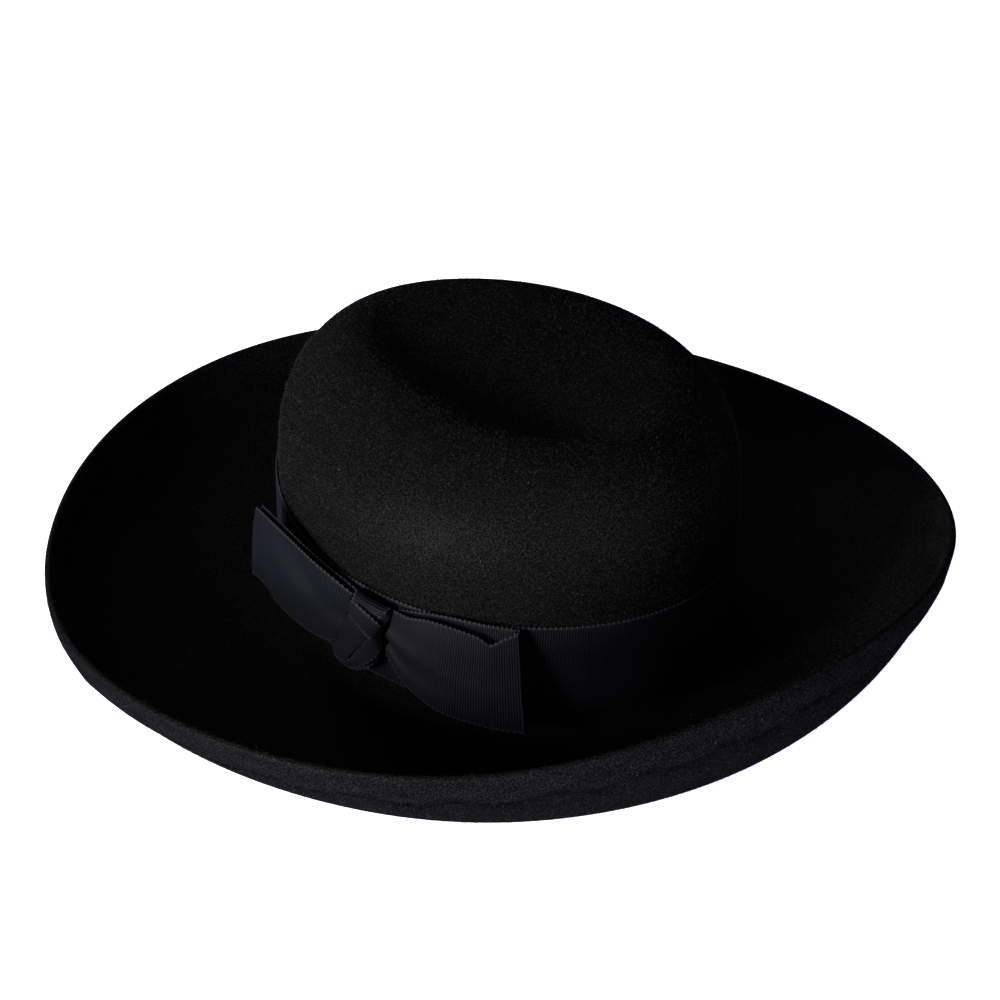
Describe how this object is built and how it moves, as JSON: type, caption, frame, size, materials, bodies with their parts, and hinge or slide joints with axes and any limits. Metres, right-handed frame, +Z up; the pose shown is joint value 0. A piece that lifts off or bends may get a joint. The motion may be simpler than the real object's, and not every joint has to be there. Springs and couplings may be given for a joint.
{
  "type": "wide-brim wool hat",
  "caption": "Black wool felt hat with a dented oval crown, a wide brim turned up all round, and a grosgrain ribbon band tied in a flat bow at one side.",
  "frame": {"origin": "on the surface that the hat rests on, in the middle of its footprint", "axes": "+Z up out of the crown, -Y the front of the hat, -X the wearer's right, where the bow is"},
  "size_m": [0.3524, 0.3683, 0.1105],
  "materials": {
    "felt": "black wool felt, matt and softly hairy",
    "ribbon": "blue-black ribbed grosgrain ribbon with a slight sheen"
  },
  "bodies": {
    "root": {"felt_body": "felt", "hat_band": "ribbon", "bow_loop_front": "ribbon", "bow_loop_back": "ribbon", "bow_knot": "ribbon", "bow_tuck": "ribbon"}
  },
  "joints": []
}
